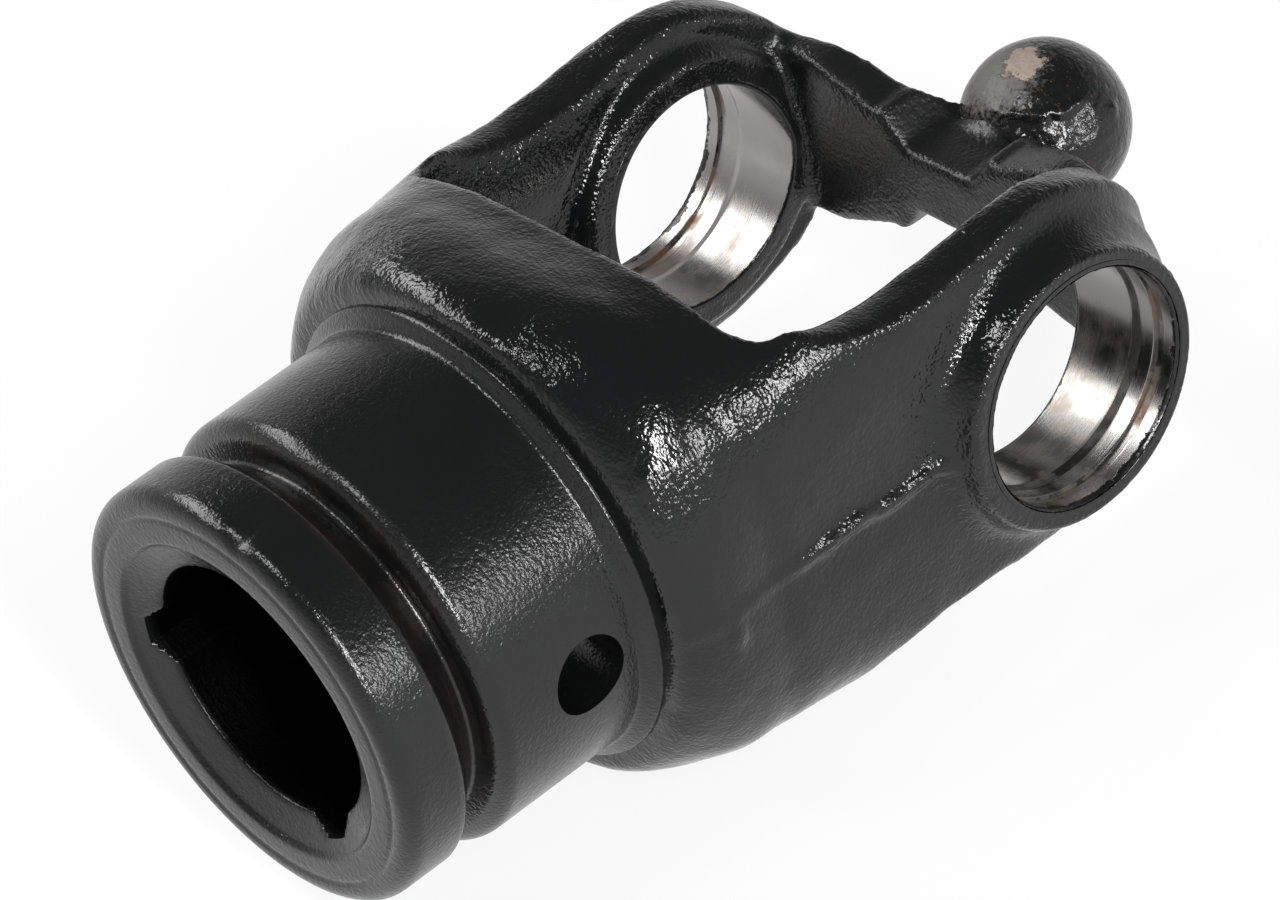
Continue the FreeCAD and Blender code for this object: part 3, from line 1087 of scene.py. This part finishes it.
@dataclass
class TurnedHub:
    """Hub turned all over, with the guard's groove, a three-lobed bore and the pin's cross hole."""

    radius: float = 29.5 * MM
    collar_r: float = 28.8 * MM
    shoulder_r: float = 31.6 * MM
    groove_r: float = 24.6 * MM
    bore_r: float = 17.4 * MM
    mouth_r: float = 21.4 * MM
    lobe_r: float = 19.9 * MM
    lobe_crest_deg: float = 5.5
    lobe_foot_deg: float = 17.0
    lobe_end_deg: float = 15.9
    lobes: int = 3
    lobe_turn_deg: float = 178.5
    end_y: float = -39.8 * MM
    knock_at: tuple = (6.9 * MM, HUB_FRONT + 1.2 * MM, 27.2 * MM)
    knock_size: tuple = (1.6 * MM, 2.6 * MM, 1.6 * MM)
    knock_depth: float = 0.5 * MM
    waviness: float = 0.03 * MM
    drill_reach: float = 45.0 * MM
    columns: int = 480
    step: float = 0.9 * MM

    def profile(self) -> np.ndarray:
        """Closed outline of the wall, from inside the base, round the outside and back through the bore.

        Returns:
            Points, one (along Y, out) row each.
        """
        front, hidden = HUB_FRONT, HUB_FRONT + 41.0 * MM
        rim, groove = front + 13.9 * MM, front + 13.4 * MM
        corners = [
            (hidden, 26.0 * MM, 0), (hidden, self.shoulder_r, 0.2 * MM),
            (front + 37.5 * MM, self.shoulder_r, 0.5 * MM), (front + 36.2 * MM, self.radius, 1.0 * MM),
            (rim, self.radius, 2.6 * MM), (rim, self.groove_r, 0.5 * MM),
            (groove - 0.4 * MM, self.groove_r, 0.4 * MM), (front + 8.6 * MM, self.collar_r, 0.35 * MM),
            (front, self.collar_r, 2.4 * MM), (front, 25.9 * MM, 0.15 * MM),
            (front + 0.22 * MM, 25.4 * MM, 0.2 * MM), (front, 24.9 * MM, 0.15 * MM),
            (front, 22.0 * MM, 0.5 * MM), (front + 0.7 * MM, self.mouth_r, 0.8 * MM),
            (front + 2.5 * MM, self.bore_r, 0.4 * MM), (self.end_y, self.bore_r, 0.3 * MM),
            (self.end_y, 21.8 * MM, 0)]
        return rounded_path(corners, self.step)

    def lobed(self, angle: np.ndarray) -> np.ndarray:
        """Radius of the broached bore.

        Formula: each lobe is an arc at its crest, joined to the round bore by a straight flank, and a
        straight flank is its distance from the axis over the cosine of the angle from its foot.

        Args:
            angle: Angles about the hub axis, in radians.

        Returns:
            The radius at each.
        """
        pitch = 2.0 * math.pi / self.lobes
        off = np.abs((angle - math.radians(self.lobe_turn_deg) + pitch / 2) % pitch - pitch / 2)
        crest, foot = math.radians(self.lobe_crest_deg), math.radians(self.lobe_foot_deg)
        a = self.lobe_r * np.array([math.cos(crest), math.sin(crest)])
        b = (self.bore_r - 0.5 * MM) * np.array([math.cos(foot), math.sin(foot)])
        across = np.array([b[1] - a[1], a[0] - b[0]])
        across /= np.linalg.norm(across)
        flank = (across @ a) / np.cos(off - math.atan2(across[1], across[0]))
        inside = np.where(off <= crest, self.lobe_r, np.minimum(flank, self.lobe_r))
        return np.where(off < foot + 0.02, np.maximum(inside, self.bore_r), self.bore_r)

    def angles(self) -> np.ndarray:
        """Even angles about the axis, with those of the lobes' corners added.

        Returns:
            The angles, in radians.
        """
        pitch = 360.0 / self.lobes
        corners = [self.lobe_turn_deg + pitch * i + s * d for i in range(self.lobes)
                   for s in (-1, 1) for d in (self.lobe_crest_deg, self.lobe_end_deg)]
        return np.unique(np.concatenate([np.linspace(0, 360, self.columns, endpoint=False),
                                         np.mod(corners, 360.0)])) * math.pi / 180.0

    def build(self, finish: bpy.types.Material) -> bpy.types.Object:
        """Builds the hub and drills its pin hole.

        Formula: the profile is carried once round the Y axis, and where it is nearer the axis than
        the lobes are, it takes the lobes' radius.

        Args:
            finish: Its paint.

        Returns:
            The object.
        """
        outline, angle = self.profile(), self.angles()
        radius = np.maximum(outline[:, 1][:, None], self.lobed(angle)[None, :])
        along = np.broadcast_to(outline[:, 0][:, None], radius.shape)
        grid = np.stack([radius * np.cos(angle), along, radius * np.sin(angle)], axis=-1)
        grid = self.nicked(grid)
        piece = add_object("hub", surface_mesh("hub", grid, round_rows=True))
        drill = add_object("drill", self.drill_mesh())
        hole = piece.modifiers.new("pin_hole", "BOOLEAN")
        hole.object = drill
        hole.operation = "DIFFERENCE"
        hole.solver = "EXACT"
        with_modifiers_applied(piece)
        bpy.data.objects.remove(drill)
        piece.data.shade_smooth()
        piece.data.set_sharp_from_angle(angle=math.radians(SHARP_DEG))
        return place(piece, finish)

    def nicked(self, grid: np.ndarray) -> np.ndarray:
        """Adds the knock on the collar's rim and a slight waviness of the paint.

        Formula: the radius falls by a bell curve about one place on the rim, and by faint noise.

        Args:
            grid: The revolved points.

        Returns:
            The moved points.
        """
        flat = grid.reshape(-1, 3).copy()
        near = np.exp(-(((flat - self.knock_at) / self.knock_size) ** 2).sum(axis=1))
        wave = self.waviness * lattice_noise(flat, 5.0 * MM, 9)
        radius = np.hypot(flat[:, 0], flat[:, 2])
        scale = 1.0 + (wave - self.knock_depth * near) / radius
        flat[:, (0, 2)] *= scale[:, None]
        return flat.reshape(grid.shape)

    def drill_mesh(self) -> bpy.types.Mesh:
        """Closed round bar in the place of the pin hole, of the size that its mount states.

        Formula: a circle square to the hole's axis is carried along it, and drawn in to a point at
        each end.

        Returns:
            The bar's mesh.
        """
        mount = MOUNTS["pin_hole"]
        centre = np.array(mount["pos_m"], dtype=float)
        axis = np.array(mount["axis"], dtype=float)
        axis /= np.linalg.norm(axis)
        across = np.array([0.0, 1.0, 0.0])
        up = np.cross(axis, across)
        turn = np.linspace(0.0, 2.0 * math.pi, 96, endpoint=False)
        ring = mount["dims"]["r_mm"] * MM * (np.cos(turn)[:, None] * across + np.sin(turn)[:, None] * up)
        ends = [(end * self.drill_reach, width) for end, width in ((-1, 0), (-1, 1), (1, 1), (1, 0))]
        grid = np.stack([centre + axis * along + ring * width for along, width in ends])
        return surface_mesh("drill", grid, round_rows=False)


@dataclass
class BoredSeat:
    """Machined bore of one ear: cap seat, lead-in, snap-ring groove and chamfer, bare of paint."""

    side: Side
    seat_r: float = CROSS_BORE_R
    lead_r: float = 15.45 * MM
    ring_r: float = 16.0 * MM
    back_r: float = 16.5 * MM
    inner_x: float = EAR_INNER
    draft: float = DIE_DRAFT
    columns: int = 256

    def build(self, finish: bpy.types.Material) -> bpy.types.Object:
        """Builds the seat as a closed sleeve.

        Formula: the profile is carried round the X axis, and its inner end leans outwards with the
        distance from the parting plane, as the ear's face does.

        Args:
            finish: Its material.

        Returns:
            The object.
        """
        face, inner = EAR_FACE, self.inner_x
        corners = [
            (inner + 3.0 * MM, self.back_r + 0.8 * MM, 0), (inner, self.back_r, 0.02 * MM),
            (inner, self.seat_r, 0.35 * MM), (face - 7.5 * MM, self.seat_r, 0.05 * MM),
            (face - 6.4 * MM, self.lead_r, 0.1 * MM), (face - 4.2 * MM, self.lead_r, 0.05 * MM),
            (face - 4.2 * MM, self.ring_r, 0.12 * MM), (face - 2.5 * MM, self.ring_r, 0.12 * MM),
            (face - 2.5 * MM, self.lead_r, 0.08 * MM), (face - 0.5 * MM, self.lead_r, 0.1 * MM),
            (face, self.lead_r + 0.5 * MM, 0.15 * MM), (face, self.back_r, 0)]
        outline = rounded_path(corners, 0.5 * MM)
        angle = np.linspace(0.0, 2.0 * math.pi, self.columns, endpoint=False)
        radius = np.broadcast_to(outline[:, 1][:, None], (len(outline), self.columns))
        height = radius * np.sin(angle)
        lean = smooth_step(inner + 7.0 * MM, inner, outline[:, 0])[:, None] * self.draft * np.abs(height)
        grid = np.stack([self.side.value * (outline[:, 0][:, None] + lean),
                         radius * np.cos(angle), height], axis=-1)
        name = f"ear_bore_{self.side.name.lower()}"
        piece = add_object(name, surface_mesh(name, grid, round_rows=True, sharp_deg=30.0))
        return place(piece, finish)


@dataclass
class CentringBall:
    """Ball that runs on into its saddle, with a ragged weld ridge across its upper side."""

    centre_y: float = BALL_Y
    radius: float = 11.0 * MM
    buried: float = 9.9 * MM
    arc_steps: int = 120
    ridge_z: float = 7.3 * MM
    ridge_ragged: float = 0.45 * MM
    ledge: float = 0.32 * MM
    ledge_width: float = 0.45 * MM
    hollow: float = 0.3 * MM
    drip: float = 0.35 * MM
    pimple: float = 0.35 * MM
    pimple_towards: tuple = (0.871, 0.309, 0.382)
    pimple_size: float = 0.075
    waviness: float = 0.05 * MM
    columns: int = 256

    def build(self, finish: bpy.types.Material) -> bpy.types.Object:
        """Builds the ball.

        Formula: most of half a circle, from the far pole to the saddle, and a straight line on into
        it are carried round the Y axis.

        Args:
            finish: Its paint.

        Returns:
            The object.
        """
        turn = np.linspace(0.0, math.acos(-self.buried / self.radius), self.arc_steps)
        arc = np.stack([self.centre_y + self.radius * np.cos(turn), self.radius * np.sin(turn)], axis=1)
        base = self.centre_y - self.buried
        neck = rounded_path([(arc[-1, 0], arc[-1, 1], 0), (base - MM, arc[-1, 1], 0.2 * MM),
                             (base - MM, 0.0, 0)], 0.3 * MM)
        outline = np.concatenate([arc, neck[1:]])
        angle = np.linspace(0.0, 2.0 * math.pi, self.columns, endpoint=False)
        grid = np.stack([outline[:, 1][:, None] * np.sin(angle),
                         np.broadcast_to(outline[:, 0][:, None], (len(outline), self.columns)),
                         outline[:, 1][:, None] * np.cos(angle)], axis=-1)
        mesh = surface_mesh("ball", self.worked(grid), round_rows=False, sharp_deg=60.0)
        return place(add_object("ball", mesh), finish)

    def worked(self, grid: np.ndarray) -> np.ndarray:
        """Moves the skin of the ball by its ridge, drips and unevenness.

        Formula: each point moves along its direction from the centre by a ledge that is a bell curve
        about the ridge's ragged height, a hollow with drips below it, one pimple and faint noise.

        Args:
            grid: The revolved points.

        Returns:
            The moved points.
        """
        flat = grid.reshape(-1, 3).copy()
        centre = np.array([0.0, self.centre_y, 0.0])
        away = flat - centre
        reach = np.linalg.norm(away, axis=1)
        unit = away / reach[:, None]
        ragged = self.ridge_ragged * layered_noise(flat, 2.0 * MM, 31, 3)
        below = flat[:, 2] - self.ridge_z - ragged
        facing = smooth_step(0.0, 0.25, unit[:, 0] + 0.12) * smooth_step(0.10, -0.15, unit[:, 1])
        ledge = np.exp(-(below / self.ledge_width) ** 2) * facing
        hollow = smooth_step(0.0, -0.8 * MM, below) * smooth_step(-5.5 * MM, -1.5 * MM, below) * facing
        drips = hollow * smooth_step(0.1, 0.7, lattice_noise(flat * [1.0, 1.0, 0.35], 1.6 * MM, 77))
        pimple = np.exp(-(((unit - self.pimple_towards) / self.pimple_size) ** 2).sum(axis=1))
        move = (self.ledge * ledge - self.hollow * hollow + self.drip * drips + self.pimple * pimple
                + self.waviness * layered_noise(flat, 4.0 * MM, 13))
        keep = smooth_step(0.8 * self.radius, 0.95 * self.radius, reach)
        flat += unit * (move * keep)[:, None]
        low, high = np.array(CAD_BOX[0]), np.array(CAD_BOX[1])
        return np.clip(flat, low, high).reshape(grid.shape)


# ---------------------------------------------------------------- studio


def direction_of(azimuth_deg: float, elevation_deg: float) -> Vector:
    """Direction from the part: azimuth 0 is the hub's side, 90 the right ear's, 180 the ball's."""
    turn, rise = math.radians(azimuth_deg), math.radians(elevation_deg)
    return Vector((math.sin(turn) * math.cos(rise), -math.cos(turn) * math.cos(rise), math.sin(rise)))


@dataclass(frozen=True)
class SoftLight:
    """A soft box aimed at the middle of the part."""

    name: str
    azimuth_deg: float
    elevation_deg: float
    distance: float
    width: float
    height: float
    watts: float

    def build(self, aim: Vector) -> None:
        """Puts the lamp in the scene.

        Args:
            aim: Where it points.
        """
        lamp = bpy.data.lights.new(self.name, "AREA")
        lamp.shape = "RECTANGLE"
        lamp.energy = self.watts
        lamp.size = self.width
        lamp.size_y = self.height
        holder = bpy.data.objects.new(self.name, lamp)
        direction = direction_of(self.azimuth_deg, self.elevation_deg)
        holder.location = aim + direction * self.distance
        holder.rotation_euler = direction.to_track_quat("Z", "Y").to_euler()
        bpy.context.scene.collection.objects.link(holder)


@dataclass(frozen=True)
class Studio:
    """Pale floor, white surroundings, soft lamps and the camera."""

    lamps: tuple = (
        SoftLight("key", 290.0, 42.0, 1.0, 0.95, 0.30, 7.0),
        SoftLight("front", 70.0, 30.0, 1.0, 0.14, 0.50, 10.0),
        SoftLight("side", 104.0, 18.0, 1.0, 0.14, 0.24, 2.6),
        SoftLight("rim", 352.0, 62.0, 1.0, 0.26, 0.18, 2.4),
    )
    ceiling: float = 0.13
    horizon: float = 0.85
    floor_size: float = 4.0
    floor_colour: tuple = (0.86, 0.86, 0.86, 1.0)
    floor_dull: float = 0.9
    floor_white: float = 0.84
    floor_gap: float = 0.3 * MM
    mirrored_white: float = 0.8
    azimuth_deg: float = 55.41
    elevation_deg: float = 37.35
    roll_deg: float = -13.31
    eye: tuple = (0.57317, -0.43132, 0.52696)
    lens_mm: float = 202.52
    sensor_mm: float = 36.0

    def white_to_camera(self, tree: Tree, other: bpy.types.NodeSocket, share: float,
                        output: bpy.types.NodeSocket) -> None:
        """Mixes plain white light into a shader for camera, glossy and transmission rays.

        Args:
            tree: The tree to add to.
            other: Shader that all other rays see.
            share: How much of the white such a ray sees.
            output: Where the mixed shader goes.
        """
        path = tree.add("LightPath").outputs
        mirrored = tree.times(path["Is Glossy Ray"], self.mirrored_white)
        seen = tree.math("MAXIMUM", path["Is Camera Ray"], mirrored, path["Is Transmission Ray"])
        white = tree.add("Emission", {"Color": WHITE, "Strength": 1.0})
        mix = tree.add("MixShader", {0: tree.times(seen, share), 1: other, 2: white.outputs[0]})
        tree.join(mix.outputs[0], output)

    def build_world(self) -> None:
        """Surroundings that are pale at the horizon and dim overhead, and white to the camera."""
        world = bpy.data.worlds.new("surroundings")
        bpy.context.scene.world = world
        world.use_nodes = True
        tree = Tree(world.node_tree)
        world.node_tree.nodes.clear()
        output = tree.add("OutputWorld")
        seen = tree.add("LightPath").outputs["Is Camera Ray"]
        rise = tree.add("SeparateXYZ", {0: tree.add("TexCoord").outputs["Generated"]}).outputs[2]
        room = tree.rescale(rise, 0.10, 0.60, self.horizon, self.ceiling)
        level = tree.math("MAXIMUM", room, seen)
        sky = tree.add("Background", {"Color": WHITE, "Strength": level})
        tree.join(sky.outputs[0], output.inputs[0])

    def build_floor(self, height: float) -> None:
        """Pale floor that keeps the part's shadow.

        Args:
            height: Its level.
        """
        half = self.floor_size / 2
        mesh = bpy.data.meshes.new("floor")
        mesh.from_pydata([(-half, -half, height), (half, -half, height), (half, half, height),
                          (-half, half, height)], [], [(0, 1, 2, 3)])
        floor = add_object("floor", mesh)
        coat = Coat("pale_floor")
        coat.feed(coat.shader.inputs["Base Color"], self.floor_colour)
        coat.feed(coat.shader.inputs["Roughness"], self.floor_dull)
        output = coat.tree.nodes["Material Output"]
        self.white_to_camera(coat, coat.shader.outputs[0], self.floor_white, output.inputs["Surface"])
        mesh.materials.append(coat.material)

    def build_camera(self) -> None:
        """Long lens, looking down on the mouth of the hub and the right ear, held at a tilt."""
        back, roll = direction_of(self.azimuth_deg, self.elevation_deg), math.radians(self.roll_deg)
        right = (-back).cross(Vector((0, 0, 1))).normalized()
        up = right.cross(-back)
        across = math.cos(roll) * right + math.sin(roll) * up
        over = -math.sin(roll) * right + math.cos(roll) * up
        data = bpy.data.cameras.new("camera")
        data.lens = self.lens_mm
        data.sensor_width = self.sensor_mm
        data.clip_start = 0.01
        holder = bpy.data.objects.new("camera", data)
        turned = Matrix((across, over, back)).transposed().to_4x4()
        holder.matrix_world = Matrix.Translation(Vector(self.eye)) @ turned
        bpy.context.scene.collection.objects.link(holder)
        bpy.context.scene.camera = holder

    def build(self) -> None:
        """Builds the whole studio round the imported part."""
        low, high = (Vector(corner) for corner in CAD_BOX)
        bpy.context.scene.view_settings.view_transform = "Standard"
        self.build_world()
        self.build_floor(low.z - self.floor_gap)
        for lamp in self.lamps:
            lamp.build((low + high) / 2)
        self.build_camera()


def main() -> None:
    """Builds every sub-assembly in order."""
    logging.basicConfig(level=logging.INFO, format="%(name)s: %(message)s")
    groups = Groups()
    RawForging().build(ForgedPaint().build(groups))
    TurnedHub().build(TurnedPaint().build(groups))
    steel = BoredSteel().build(groups)
    for side in Side:
        BoredSeat(side).build(steel)
    ball = CentringBall()
    ball.build(BallPaint((0.0, ball.centre_y, 0.0), ball.radius).build(groups))
    Studio().build()


if __name__ == "__main__":
    main()
